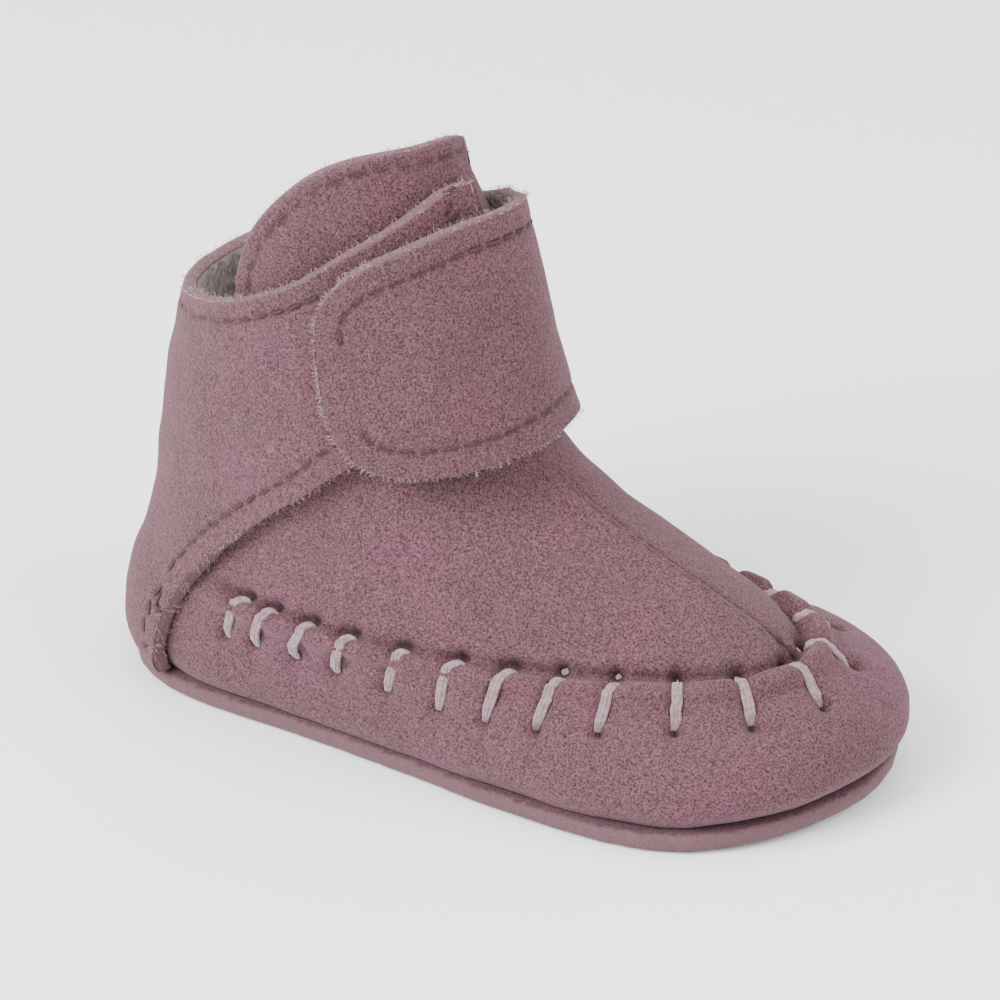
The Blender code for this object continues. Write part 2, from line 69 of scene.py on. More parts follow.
def toward(azimuth, elevation):
    """Unit direction from the shoe to a camera or lamp."""
    level = cos(elevation)
    return Vector((sin(azimuth) * level, -cos(azimuth) * level, sin(elevation)))


camera = bpy.data.objects.new("camera", bpy.data.cameras.new("camera"))
bpy.context.scene.collection.objects.link(camera)
camera.location = toward(AZIMUTH, ELEVATION) * DISTANCE
camera.rotation_euler = (AIM - camera.location).to_track_quat("-Z", "Y").to_euler()
camera.data.lens = LENS
camera.data.sensor_width = 36.0
camera.data.clip_start = 0.01
bpy.context.scene.camera = camera
print("camera at", [round(v, 3) for v in camera.location])


# %% Floor and lamps
def add_node(tree, kind, inputs=None, **settings):
    """Add a shader node; an input may be a value or another node's output."""
    made = tree.nodes.new(kind)
    for key, value in settings.items():
        setattr(made, key, value)
    for key, value in (inputs or {}).items():
        if isinstance(value, bpy.types.NodeSocket):
            tree.links.new(value, made.inputs[key])
        else:
            made.inputs[key].default_value = value
    return made


def new_finish(name):
    """Empty material: its node tree and its Principled shader."""
    made = bpy.data.materials.new(name)
    made.use_nodes = True
    return made, made.node_tree, made.node_tree.nodes["Principled BSDF"]


floor_bm = bmesh.new()
bmesh.ops.create_grid(floor_bm, x_segments=1, y_segments=1, size=2.5)
floor_mesh = bpy.data.meshes.new("floor")
floor_bm.to_mesh(floor_mesh)
floor_bm.free()
floor = bpy.data.objects.new("floor", floor_mesh)
bpy.context.scene.collection.objects.link(floor)
paper, _, paper_shader = new_finish("paper")
paper_shader.inputs["Base Color"].default_value = (0.90, 0.90, 0.905, 1.0)
paper_shader.inputs["Roughness"].default_value = 0.9
floor_mesh.materials.append(paper)

world = bpy.data.worlds.new("studio")
world.use_nodes = True
world.node_tree.nodes["Background"].inputs["Color"].default_value = (1.0, 0.99, 0.985, 1.0)
world.node_tree.nodes["Background"].inputs["Strength"].default_value = 1.15
bpy.context.scene.world = world

LAMPS = (
    ("key", -32.0, 38.0, 0.9, 0.5, 18.0),
    ("fill", 95.0, 35.0, 1.1, 0.8, 12.0),
    ("top", 190.0, 70.0, 1.0, 0.8, 6.0),
)
for name, azimuth, elevation, distance, size, power in LAMPS:
    lamp = bpy.data.objects.new(name, bpy.data.lights.new(name, "AREA"))
    bpy.context.scene.collection.objects.link(lamp)
    lamp.data.size = size
    lamp.data.energy = power
    lamp.location = toward(radians(azimuth), radians(elevation)) * distance
    lamp.rotation_euler = (-lamp.location).to_track_quat("-Z", "Y").to_euler()
print("lamps:", [row[0] for row in LAMPS])

# %% [markdown]
# ## Suede, rubber, lining and thread
# Suede is leather buffed until its fibres stand up as a nap. Close up it is a field of light
# and dark specks less than a millimetre wide; from afar it has soft greyer and pinker
# patches where the nap was stroked; at a glancing angle it has a pale bloom, which the
# Sheen part of the shader gives. An image could carry this, but noise in object coordinates
# needs no unwrapping and flows over seams. Two attributes painted on each mesh steer it:
# "shade" darkens stitch holes and folds, "rim" pales the raw cut edges.


# %% Finish helpers
def mix_colour(tree, share, first, second, blend="MIX"):
    """Mix two colours; returns the result's socket."""
    made = tree.nodes.new("ShaderNodeMix")
    made.data_type = "RGBA"
    made.blend_type = blend
    for index, value in ((0, share), (6, first), (7, second)):
        if isinstance(value, bpy.types.NodeSocket):
            tree.links.new(value, made.inputs[index])
        else:
            made.inputs[index].default_value = value
    return made.outputs[2]


def noise_share(tree, coords, scale, low, high, detail=2.0):
    """Noise stretched so that low becomes 0 and high becomes 1."""
    cloud = add_node(tree, "ShaderNodeTexNoise", {"Vector": coords, "Scale": scale, "Detail": detail})
    made = add_node(
        tree, "ShaderNodeMapRange", {"Value": cloud.outputs[0], "From Min": low, "From Max": high}
    )
    return made.outputs[0]


def painted(tree, name, strength):
    """A painted attribute times a strength, held between 0 and 1."""
    source = add_node(tree, "ShaderNodeAttribute", attribute_name=name)
    made = add_node(
        tree, "ShaderNodeMath", {0: source.outputs["Fac"], 1: strength}, operation="MULTIPLY", use_clamp=True
    )
    return made.outputs[0]


def object_coords(tree):
    return add_node(tree, "ShaderNodeTexCoord").outputs["Object"]


# %% Suede
def suede_finish(name, grey_tone, pink_tone, speck=0.72):
    """Napped leather: two tones in patches, fine specks, pale bloom."""
    made, tree, shader = new_finish(name)
    coords = object_coords(tree)
    patches = noise_share(tree, coords, 62.0, 0.36, 0.64, 3.0)
    nap = noise_share(tree, coords, 1150.0, 0.30, 0.70, 3.0)
    grain = noise_share(tree, coords, 3300.0, 0.30, 0.70, 3.0)
    tone = mix_colour(tree, patches, grey_tone, pink_tone)
    dark = (1.0 - speck, 1.0 - speck, 1.0 - speck, 1.0)
    pale = (1.0 + speck, 1.0 + speck * 0.94, 1.0 + speck * 0.96, 1.0)
    specks = mix_colour(tree, grain, dark, pale)
    tone = mix_colour(tree, 1.0, tone, specks, "MULTIPLY")
    strokes = mix_colour(tree, nap, (0.90, 0.90, 0.90, 1.0), (1.10, 1.10, 1.10, 1.0))
    tone = mix_colour(tree, 1.0, tone, strokes, "MULTIPLY")
    tone = mix_colour(tree, painted(tree, "rim", 0.36), tone, (0.170, 0.105, 0.113, 1.0))
    tone = mix_colour(tree, painted(tree, "shade", 1.0), tone, (0.018, 0.007, 0.009, 1.0))
    tree.links.new(tone, shader.inputs["Base Color"])
    height = add_node(tree, "ShaderNodeMath", {0: grain, 1: nap}, operation="ADD")
    bump = add_node(
        tree, "ShaderNodeBump", {"Height": height.outputs[0], "Strength": 0.55, "Distance": 0.00018}
    )
    tree.links.new(bump.outputs[0], shader.inputs["Normal"])
    shader.inputs["Roughness"].default_value = 0.93
    shader.inputs["Specular IOR Level"].default_value = 0.18
    shader.inputs["Sheen Weight"].default_value = 0.16
    shader.inputs["Sheen Roughness"].default_value = 0.45
    shader.inputs["Sheen Tint"].default_value = (0.80, 0.55, 0.62, 1.0)
    return made


suede = suede_finish("suede", (0.080, 0.041, 0.047, 1.0), (0.094, 0.042, 0.055, 1.0))
sole_suede = suede_finish("sole_suede", (0.070, 0.034, 0.043, 1.0), (0.084, 0.038, 0.051, 1.0), 0.34)
print("suede tones made")


# %% Rubber, lining and thread
def plain_finish(name, dark, pale, scale, roughness, bump_height, sheen=0.0, specular=0.4):
    """Two-tone noise finish for rubber, fleece and thread."""
    made, tree, shader = new_finish(name)
    coords = object_coords(tree)
    cloud = noise_share(tree, coords, scale, 0.32, 0.68)
    tone = mix_colour(tree, cloud, dark, pale)
    tone = mix_colour(tree, painted(tree, "shade", 1.0), tone, (0.05, 0.03, 0.035, 1.0))
    tree.links.new(tone, shader.inputs["Base Color"])
    bump = add_node(tree, "ShaderNodeBump", {"Height": cloud, "Strength": 0.5, "Distance": bump_height})
    tree.links.new(bump.outputs[0], shader.inputs["Normal"])
    shader.inputs["Roughness"].default_value = roughness
    shader.inputs["Specular IOR Level"].default_value = specular
    shader.inputs["Sheen Weight"].default_value = sheen
    return made


rubber = plain_finish(
    "grip_rubber", (0.050, 0.022, 0.036, 1.0), (0.062, 0.028, 0.046, 1.0), 420.0, 0.52, 0.00003
)
lining = plain_finish(
    "lining", (0.22, 0.165, 0.160, 1.0), (0.40, 0.32, 0.31, 1.0), 620.0, 0.96, 0.0007, 0.5, 0.15
)
cord_thread = plain_finish(
    "cord_thread", (0.15, 0.095, 0.105, 1.0), (0.26, 0.180, 0.195, 1.0), 1500.0, 0.75, 0.0002, 0.3, 0.25
)
# Fine thread: the real thread is plum like the suede; its far darker colour is painted shade of the holes and
# grooves it sinks into.
painted_shade_thread = plain_finish(
    "painted_shade_thread", (0.026, 0.010, 0.013, 1.0), (0.055, 0.024, 0.030, 1.0), 1500.0, 0.7, 0.0001, 0.0, 0.3
)
for grip in ("heel_grip", "forefoot_grip"):
    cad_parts[grip].material_slots[0].material = rubber
print("rubber on both grips")

# %% [markdown]
# ## From CAD piece to soft leather
# A CAD piece arrives as loose triangles with hard facets. To make leather of it, a copy is
# merged, its triangles are joined to quads, and Subdivision Surface rounds it. The cut edges
# get a crease first, or the subdivision would round them away. Each face is sorted by a ray
# shot back through the leather: a short way through means a broad face, a long way a cut
# edge. Broad faces that look away from the foot are the outside.

# %% Copy, sort and smooth
RIM, INNER, OUTER = 0, 1, 2


def merged_copy(*names):
    """Merged copy of one or more CAD pieces."""
    bm = bmesh.new()
    for name in names:
        bm.from_mesh(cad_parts[name].data)
    bmesh.ops.remove_doubles(bm, verts=bm.verts, dist=1e-5)
    return bm


def foot_axis(point):
    """Nearest point of a line through the middle of the foot."""
    return Vector((min(max(point.x, -0.032), 0.030), 0.0, min(point.z, 0.012)))


def sort_faces(bm, thickness):
    """Mark each face as rim, inner or outer in its material number."""
    bm.normal_update()
    tree = BVHTree.FromBMesh(bm)
    for face in bm.faces:
        centre = face.calc_center_median()
        back = tree.ray_cast(centre - face.normal * 1e-5, -face.normal, 1.6 * thickness)
        if back[0] is None:
            face.material_index = RIM
        elif face.normal.dot(centre - foot_axis(centre)) > 0.0:
            face.material_index = OUTER
        else:
            face.material_index = INNER


def make_quads(bm):
    bmesh.ops.join_triangles(
        bm,
        faces=bm.faces,
        cmp_materials=True,
        angle_face_threshold=radians(35.0),
        angle_shape_threshold=radians(75.0),
    )


def smoothed(bm, levels, crease=0.75, sharp=48.0):
    """Subdivided copy of a mesh whose sharp edges keep a crease."""
    layer = bm.edges.layers.float.new("crease_edge")
    for edge in bm.edges:
        if RIM not in (face.material_index for face in edge.link_faces):
            continue
        if len(edge.link_faces) == 2 and edge.calc_face_angle() > radians(sharp):
            edge[layer] = crease
    mesh = bpy.data.meshes.new("draft")
    bm.to_mesh(mesh)
    bm.free()
    holder = bpy.data.objects.new("draft", mesh)
    bpy.context.scene.collection.objects.link(holder)
    rounding = holder.modifiers.new("rounding", "SUBSURF")
    rounding.levels = levels
    rounding.render_levels = levels
    made = bmesh.new()
    made.from_object(holder, bpy.context.evaluated_depsgraph_get())
    bpy.data.objects.remove(holder)
    bpy.data.meshes.remove(mesh)
    return made


def split_outside(bm):
    """Halve the faces on the outside once more, where seams are pressed in."""
    edges = {edge for face in bm.faces if face.material_index == OUTER for edge in face.edges}
    bmesh.ops.subdivide_edges(bm, edges=list(edges), cuts=1, use_grid_fill=True)
    bm.normal_update()


# %% [markdown]
# ## Relief
# Stitches pull leather down, and between them it puffs up. Both are the same tool here: a
# soft groove along a short line, deepest on the line and gone two widths away. A negative
# depth raises a ridge. All grooves of a piece are summed first and moved once, along the
# normals, as a sculptor's crease brush would do. No cloth simulation is used: leather this
# thick does not drape, it holds the shape of its seams.


# %% Grooves and the finished piece
def surface_of(bm):
    """Points of a mesh, a weight of one where an outer face touches, and empty lists for lift and shade."""
    bm.verts.ensure_lookup_table()
    points = np.array([vert.co for vert in bm.verts])
    weight = np.ones(len(points))
    for vert in bm.verts:
        if not any(face.material_index == OUTER for face in vert.link_faces):
            weight[vert.index] = 0.0
    return {"points": points, "weight": weight, "lift": np.zeros(len(points)), "shade": np.zeros(len(points))}


def line_distance(points, start, end):
    start = np.array(start)
    span = np.array(end) - start
    share = np.clip((points - start) @ span / max(span @ span, 1e-12), 0.0, 1.0)
    return np.linalg.norm(points - start - share[:, None] * span, axis=1)


def groove(surface, start, end, width, depth, shade=0.0, shade_width=None):
    """Press a soft groove along a line; the shade is painted for the finish."""
    away = line_distance(surface["points"], start, end)
    surface["lift"] -= depth * np.exp(-((away / width) ** 2))
    if shade:
        surface["shade"] += shade * np.exp(-((away / (shade_width or width)) ** 2))


def undulate(surface, scale, height, seed):
    """Low swells, so that no surface is quite even."""
    shift = Vector((seed, -seed, 0.5 * seed))
    for i, point in enumerate(surface["points"]):
        surface["lift"][i] += height * noise.noise(Vector(point) * scale + shift)


def finished(bm, surface, name, finishes, slot, *nodes):
    """Move the points, paint the attributes and make the object."""
    rims = {vert.index for face in bm.faces if face.material_index == RIM for vert in face.verts}
    for vert in bm.verts:
        vert.co += vert.normal * float(surface["lift"][vert.index] * surface["weight"][vert.index])
    for face in bm.faces:
        face.material_index = 1 if face.material_index == INNER and len(finishes) > 1 else 0
        face.smooth = True
    bm.normal_update()
    mesh = bpy.data.meshes.new(name)
    bm.to_mesh(mesh)
    bm.free()
    for key, values in (
        ("shade", np.clip(surface["shade"], 0.0, 0.9)),
        ("rim", np.array([float(i in rims) for i in range(len(mesh.vertices))])),
    ):
        mesh.attributes.new(key, "FLOAT", "POINT").data.foreach_set("value", values)
    return placed(mesh, name, finishes, slot, *nodes)


def placed(mesh, name, finishes, slot, *nodes):
    """Give a mesh its finishes and its place in the frame."""
    for finish in finishes:
        mesh.materials.append(finish)
    piece = bpy.data.objects.new(name, mesh)
    bpy.context.scene.collection.objects.link(piece)
    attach(piece, "root")
    if nodes:
        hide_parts(*nodes)
    print(name, "faces:", len(mesh.polygons))
    return piece


def outside_tree(bm):
    """Search tree of the outer faces alone."""
    faces = [face for face in bm.faces if face.material_index == OUTER]
    points = [vert.co.copy() for vert in bm.verts]
    return BVHTree.FromPolygons(points, [[vert.index for vert in face.verts] for face in faces])


# %% [markdown]
# ## Threads
# A thread is a curve with a round bevel, turned into a mesh. Every run dips into the leather
# at both ends, as a real stitch does. All runs of one seam are one object, so hundreds of
# stitches stay light: each has only a few dozen faces.


# %% Thread maker
def thread_piece(name, runs, radius, finish, sides=1):
    """All runs of a seam as one mesh of round tubes."""
    curve = bpy.data.curves.new(name, "CURVE")
    curve.dimensions = "3D"
    curve.bevel_depth = radius
    curve.bevel_resolution = sides
    curve.use_fill_caps = True
    for run in runs:
        spline = curve.splines.new("POLY")
        spline.points.add(len(run) - 1)
        for point, place in zip(spline.points, run):
            point.co = (*place, 1.0)
    holder = bpy.data.objects.new(name + "_draft", curve)
    bpy.context.scene.collection.objects.link(holder)
    graph = bpy.context.evaluated_depsgraph_get()
    mesh = bpy.data.meshes.new_from_object(holder.evaluated_get(graph))
    bpy.data.objects.remove(holder)
    mesh.name = name
    mesh.shade_smooth()
    mesh.materials.clear()
    return placed(mesh, name, [finish], "suede")


# %% [markdown]
# ## Finding a seam line
# A machine stitch follows a cut edge at a steady distance. The border between inner faces
# and cut edge is a closed line of points. Each point steps into the leather by the stitch
# margin and is then carried through to the outside, where the thread lies.


# %% Edge walking
def border_loop(bm):
    """Longest closed border of the inner faces, as ordered vertices."""
    border = set()
    for edge in bm.edges:
        if sum(face.material_index == INNER for face in edge.link_faces) == 1:
            border.add(edge)
    best = []
    while border:
        edge = border.pop()
        first, vert = edge.verts
        loop = [first, vert]
        while True:
            following = next((e for e in vert.link_edges if e in border), None)
            if following is None:
                break
            border.discard(following)
            vert = following.other_vert(vert)
            if vert is first:
                break
            loop.append(vert)
        if len(loop) > len(best):
            best = loop
    return best


def is_covered(tree, place, outward):
    """True where another layer lies over this point of the outside."""
    return tree.ray_cast(place + outward * 0.0004, outward, 0.006)[0] is not None


def inset_path(bm, tree, margin, thickness):
    """Lines on the outside, a margin in from the edge, where nothing covers them."""
    whole = BVHTree.FromBMesh(bm)
    loop = border_loop(bm)
    count = len(loop)
    steps = []
    outward = []
    for i, vert in enumerate(loop):
        along = (loop[(i + 2) % count].co - loop[i - 2].co).normalized()
        inner = [face for face in vert.link_faces if face.material_index == INNER]
        normal = -sum((face.normal for face in inner), Vector()).normalized()
        middle = sum((face.calc_center_median() for face in inner), Vector()) / len(inner)
        step = normal.cross(along).normalized()
        steps.append(step if step.dot(middle - vert.co) > 0.0 else -step)
        outward.append(normal)
    runs = [[]]
    for i, vert in enumerate(loop):
        near = [(i + k) % count for k in range(-3, 4)]
        step = sum((steps[k] for k in near), Vector()).normalized()
        inside = vert.co + step * margin(vert.co)
        place, normal, _, _ = tree.find_nearest(inside + outward[i] * thickness)
        if (place - inside).length > 2.0 * thickness or is_covered(whole, place, outward[i]):
            if runs[-1]:
                runs.append([])
            continue
        runs[-1].append((place, normal))
    if len(runs) > 1:
        runs[0] = runs.pop() + runs[0]
    else:
        runs[0].append(runs[0][0])
    print("seam runs:", [len(run) for run in runs], "of", count)
    return [run for run in runs if len(run) > 8]


def stitches_along(path, pitch, dash, keep):
    """Start and end of each stitch along a line, where keep(point) is true."""
    travelled = [0.0]
    for (first, _), (second, _) in zip(path, path[1:]):
        travelled.append(travelled[-1] + (second - first).length)
    count = max(int(travelled[-1] / pitch), 1)
    step = travelled[-1] / count

    def at(distance):
        i = int(np.searchsorted(travelled, distance, side="right")) - 1
        i = min(max(i, 0), len(path) - 2)
        share = (distance - travelled[i]) / max(travelled[i + 1] - travelled[i], 1e-9)
        share = min(max(share, 0.0), 1.0)
        return path[i][0].lerp(path[i + 1][0], share), path[i][1].lerp(path[i + 1][1], share).normalized()

    made = []
    for k in range(count):
        start, end = at(k * step), at(k * step + dash)
        if keep(start[0]) and (end[0] - start[0]).length > 0.6 * dash:
            made.append((start, end))
    return made


def sew(surface, stitches, radius, depth=0.00022, shade=0.75):
    """Press a dent under each stitch and return the thread runs."""
    runs = []
    for (start, up), (end, end_up) in stitches:
        groove(surface, start, end, 0.00055, depth, shade, 0.00042)
        sunk = radius * 0.55 + depth
        low = radius + depth
        runs.append(
            (
                start - up * (low + 0.0004),
                start - up * sunk,
                start.lerp(end, 0.5) - up * (sunk - 0.00008),
                end - end_up * sunk,
                end - end_up * (low + 0.0004),
            )
        )
    return runs


# %% [markdown]
# ## Upper: side wall, whip-stitched seam and vamp
# The wall comes up from the sole and is gathered onto the vamp with one thick cord. Each
# stitch leaves a hole in the wall, climbs over the standing edge and enters the vamp. It
# pinches the edge, so the edge is a row of small pillows with a pucker running down from
# each hole. The stitches stand where the photograph shows them on the outer side, and go on
# in the same rhythm round the toe and along the inner side.

# %% Seam line
SEAM_TURNS = (
    64.5, 72.0, 81.5, 90.5, 98.5, 106.5, 114.0, 121.5, 130.5, 142.0, 156.0, 173.0, 190.5,
    206.0, 219.0, 229.5, 238.5, 246.5, 254.5, 262.5, 270.5, 279.0, 287.5,
)
SEAM_BACK, SEAM_MIDDLE, SEAM_FRONT = -0.0557, -0.0132, 0.0490
SEAM_HALF_WIDTH = 0.0250
SEAM_TOP = 0.0183


def seam_point(turn):
    """Point of the seam: turn 0 is the heel, 90 the outer side, 180 the toe."""
    c = cos(radians(turn))
    s = sin(radians(turn))
    reach = SEAM_MIDDLE - (SEAM_BACK if c > 0.0 else SEAM_FRONT)
    half = SEAM_HALF_WIDTH * abs(s) ** (0.88 if c > 0.0 else 0.94)
    x = SEAM_MIDDLE - abs(reach) * c
    swing = min(max(x / 0.0504, 0.0), 1.0)
    y = (-half if s > 0.0 else half) + 0.0016 * swing * swing * (3.0 - 2.0 * swing)
    return Vector((x, y, SEAM_TOP + 0.0008 * swing))


upper_bm = merged_copy("upper")
sort_faces(upper_bm, 0.002)
for face in upper_bm.faces:
    if face.material_index == RIM and 0.013 < face.calc_center_median().z < 0.0225:
        face.material_index = OUTER
make_quads(upper_bm)
upper_bm = smoothed(upper_bm, 2, crease=0.6)
split_outside(upper_bm)
upper_tree = outside_tree(upper_bm)
upper_skin = surface_of(upper_bm)
print("upper points:", len(upper_skin["points"]))


# %% Standing edge and puckers
def seam_frame(turn):
    """Point of the seam, the level direction away from the foot and the one along it."""
    middle = seam_point(turn)
    along = (seam_point(turn + 1.0) - seam_point(turn - 1.0)).normalized()
    out = along.cross(Vector((0.0, 0.0, 1.0))).normalized()
    if out.dot(middle - Vector((SEAM_MIDDLE, 0.0, middle.z))) < 0.0:
        out = -out
    return middle, out, along


def on_upper(turn, out_by, up_by, forward=0.0):
    """Point of the upper near the seam, given by distances out, up and forward."""
    middle, out, along = seam_frame(turn)
    ahead = along if along.x > 0.0 else -along
    target = middle + out * out_by + ahead * forward
    return upper_tree.find_nearest(target + Vector((0.0, 0.0, up_by)))[0]


def stitch_lean(turn):
    """How far a stitch's upper end stands nearer to the toe than its lower end."""
    side = abs(turn - 180.0)
    return 0.0034 * min(max((side - 34.0) / 30.0, 0.0), 1.0)


SEAM_STEP = 3.0
for turn in np.arange(57.0, 291.0, SEAM_STEP):
    ridge = on_upper(turn, 0.0006, 0.0020), on_upper(turn + SEAM_STEP, 0.0006, 0.0020)
    valley = on_upper(turn, -0.0022, 0.0014), on_upper(turn + SEAM_STEP, -0.0022, 0.0014)
    groove(upper_skin, *ridge, 0.0017, -0.00035)
    groove(upper_skin, *valley, 0.0010, 0.00050, 0.22, 0.0008)
for turn in SEAM_TURNS:
    lean = 0.5 * stitch_lean(turn)
    wall = on_upper(turn, 0.0040, -0.0046, -lean)
    top = on_upper(turn, 0.0003, 0.0020)
    vamp = on_upper(turn, -0.0026, 0.0014, lean)
    groove(upper_skin, wall, top, 0.00105, 0.00065, 0.12)
    groove(upper_skin, top, vamp, 0.00105, 0.00065, 0.12)
    groove(upper_skin, wall, wall, 0.00090, 0.00060, 0.9, 0.00065)
    groove(upper_skin, vamp, vamp, 0.00090, 0.00050, 0.9, 0.00065)
    out = seam_frame(turn)[1]
    below = wall + out * 0.0014 - Vector((0.0, 0.0, 0.0048))
    groove(upper_skin, wall, below, 0.00130, 0.00042, 0.06)
    groove(upper_skin, vamp, vamp - out * 0.0034, 0.00120, 0.00030, 0.05)
for first, second in zip(SEAM_TURNS, SEAM_TURNS[1:]):
    near, far = 0.68 * first + 0.32 * second, 0.32 * first + 0.68 * second
    groove(upper_skin, on_upper(near, 0.0004, 0.002), on_upper(far, 0.0004, 0.002), 0.0016, -0.00045)
    groove(upper_skin, on_upper(near, 0.0030, -0.003), on_upper(far, 0.0030, -0.003), 0.0019, -0.00022)
print("puckers:", len(SEAM_TURNS))

# %% Centre seam of the vamp
CENTRE_SEAM = [Vector((x, 0.0, 0.06)) for x in np.arange(0.0095, 0.0475, 0.0029)]


def seam_edge_y(x):
    """Across place of the lapped edge, which swings with the toe."""
    swing = min(max(x / 0.0504, 0.0), 1.0)
    return 0.0016 * swing * swing * (3.0 - 2.0 * swing)


lap_holes = []
for mark in CENTRE_SEAM:
    start = Vector((mark.x, seam_edge_y(mark.x) - 0.0011, 0.08))
    place, normal, _, _ = upper_tree.ray_cast(start, Vector((0.0, 0.0, -1.0)))
    if place is not None:
        lap_holes.append((place, normal))
        groove(upper_skin, place, place + Vector((0.0009, 0.0, -0.0004)), 0.0005, 0.00018, 0.7, 0.00038)
for first, second in zip(lap_holes, lap_holes[1:]):
    down = Vector((0.0, 0.0013, -0.0003))
    groove(upper_skin, first[0] + down, second[0] + down, 0.00065, 0.00040, 0.75, 0.00055)
print("holes along the centre seam:", len(lap_holes))

# %% Creases of the upper
UPPER_CREASES = (
    ((16, -17, 24), (27, -11, 24), 3.0, 0.45),
    ((20, 16, 24), (30, 11, 23), 3.0, 0.40),
    ((9, -19, 27), (14, -15, 31), 2.4, 0.40),
    ((8, 19, 28), (13, 15, 32), 2.4, 0.40),
    ((34, -20, 9), (20, -26, 8), 3.4, 0.40),
    ((-8, -25, 10), (-22, -24, 8), 3.2, 0.35),
    ((52, -12, 8), (58, 4, 8), 3.0, 0.30),
    ((-2, 25, 10), (14, 27, 9), 3.2, 0.35),
    ((38, 22, 10), (48, 16, 9), 3.2, 0.35),
)
for start, end, width, depth in UPPER_CREASES:
    groove(upper_skin, Vector(start) * MM, Vector(end) * MM, width * MM, depth * MM)
undulate(upper_skin, 85.0, 0.00035, 3.1)
undulate(upper_skin, 230.0, 0.00014, 7.7)
print("creases:", len(UPPER_CREASES))

# %% Whip stitches
WHIP_STRAND = 0.00034
WHIP_POINTS = 9
pressed = upper_skin["points"].copy()
for vert in upper_bm.verts:
    i = vert.index
    pressed[i] += np.array(vert.normal) * upper_skin["lift"][i] * upper_skin["weight"][i]
outside_faces = [face for face in upper_bm.faces if face.material_index == OUTER]
pressed_tree = BVHTree.FromPolygons(
    [Vector(point) for point in pressed], [[vert.index for vert in face.verts] for face in outside_faces]
)
whip_runs = []
for turn in SEAM_TURNS:
    lean = 0.5 * stitch_lean(turn)
    along = seam_frame(turn)[2]
    wall = on_upper(turn, 0.0040, -0.0046, -lean)
    vamp = on_upper(turn, -0.0026, 0.0014, lean)
    top = on_upper(turn, 0.0003, 0.0020)
    out = seam_frame(turn)[1]
    touched = []
    for i in range(WHIP_POINTS):
        share = 2.0 * i / (WHIP_POINTS - 1)
        point = wall.lerp(top, share) if share < 1.0 else top.lerp(vamp, share - 1.0)
        tilt = radians(25.0 + 40.0 * share)
        away = out * cos(tilt) + Vector((0.0, 0.0, sin(tilt)))
        hit = pressed_tree.ray_cast(point + away * 0.006, -away, 0.011)
        if hit[0] is None:
            hit = pressed_tree.find_nearest(point)
        touched.append((hit[0], hit[1]))
    taut = [place for place, _ in touched]
    for _ in range(3):
        for i in range(1, WHIP_POINTS - 1):
            normal = touched[i][1]
            drawn = (taut[i - 1] + taut[i + 1]) * 0.5
            above = (drawn - touched[i][0]).dot(normal)
            taut[i] = drawn if above > 0.0 else drawn - normal * above
    touched = [(place, normal) for place, (_, normal) in zip(taut, touched)]
    for k in (-1.0, 0.0, 1.0):
        run = [touched[0][0] - touched[0][1] * 0.0012]
        for i, (place, normal) in enumerate(touched):
            ends = 0.55 if i in (0, len(touched) - 1) else 1.0
            rise = 0.00005 if ends < 1.0 else WHIP_STRAND * (1.5 if k == 0.0 else 1.2)
            run.append(place + normal * rise + along * (k * 0.00047 * ends))
        run.append(touched[-1][0] - touched[-1][1] * 0.0012)
        whip_runs.append(run)
upper_piece = finished(upper_bm, upper_skin, "upper_leather", [suede, lining], "suede", "upper")
whip_piece = thread_piece("whip_stitches", whip_runs, WHIP_STRAND, cord_thread, 2)

# %% [markdown]
# ## Tongue
# The tongue carries the vamp on up the front of the ankle. It is a single curved sheet with
# a line of machine stitches two millimetres in from its edge and the lapped seam down its
# middle.

# %% Tongue
tongue_bm = merged_copy("tongue")
sort_faces(tongue_bm, 0.0019)
make_quads(tongue_bm)
tongue_bm = smoothed(tongue_bm, 2, crease=0.75)
split_outside(tongue_bm)
tongue_tree = outside_tree(tongue_bm)
tongue_skin = surface_of(tongue_bm)
tongue_stitches = []
for run in inset_path(tongue_bm, tongue_tree, lambda point: 0.0021, 0.0019):
    tongue_stitches += stitches_along(run, 0.0033, 0.0019, lambda point: point.z > 0.056)
tongue_runs = sew(tongue_skin, tongue_stitches, 0.00026)
TONGUE_CREASES = (
    ((-12, -17, 70), (-6, -12, 76), 3.0, 0.35),
    ((-20, -19, 68), (-16, -19, 78), 3.2, 0.30),
    ((-10, 15, 66), (-14, 17, 74), 3.0, 0.30),
)
for start, end, width, depth in TONGUE_CREASES:
    groove(tongue_skin, Vector(start) * MM, Vector(end) * MM, width * MM, depth * MM)
undulate(tongue_skin, 95.0, 0.00030, 1.9)
tongue_piece = finished(tongue_bm, tongue_skin, "tongue_leather", [suede, suede], "suede", "tongue")
tongue_seam = thread_piece("tongue_stitches", tongue_runs, 0.00026, painted_shade_thread)

# %% [markdown]
# ## Cuff and strap
# On the real shoe the heel counter, the cuff and the strap are one cut of leather. The CAD
# model has them as two solids that meet on the inner side. Here the two meeting end faces
# are deleted and the open ends are bridged, so the leather runs through.

# %% Join cuff and strap
THICKNESS = 0.0024


def end_faces(bm, other):
    """Faces on the inner side that almost touch the other piece, head on."""
    found = []
    for face in bm.faces:
        centre = face.calc_center_median()
        place, _, _, away = other.find_nearest(centre)
        if centre.y > 0.0 and away < 0.0009 and face.normal.dot((place - centre).normalized()) > 0.6:
            found.append(face)
    return found


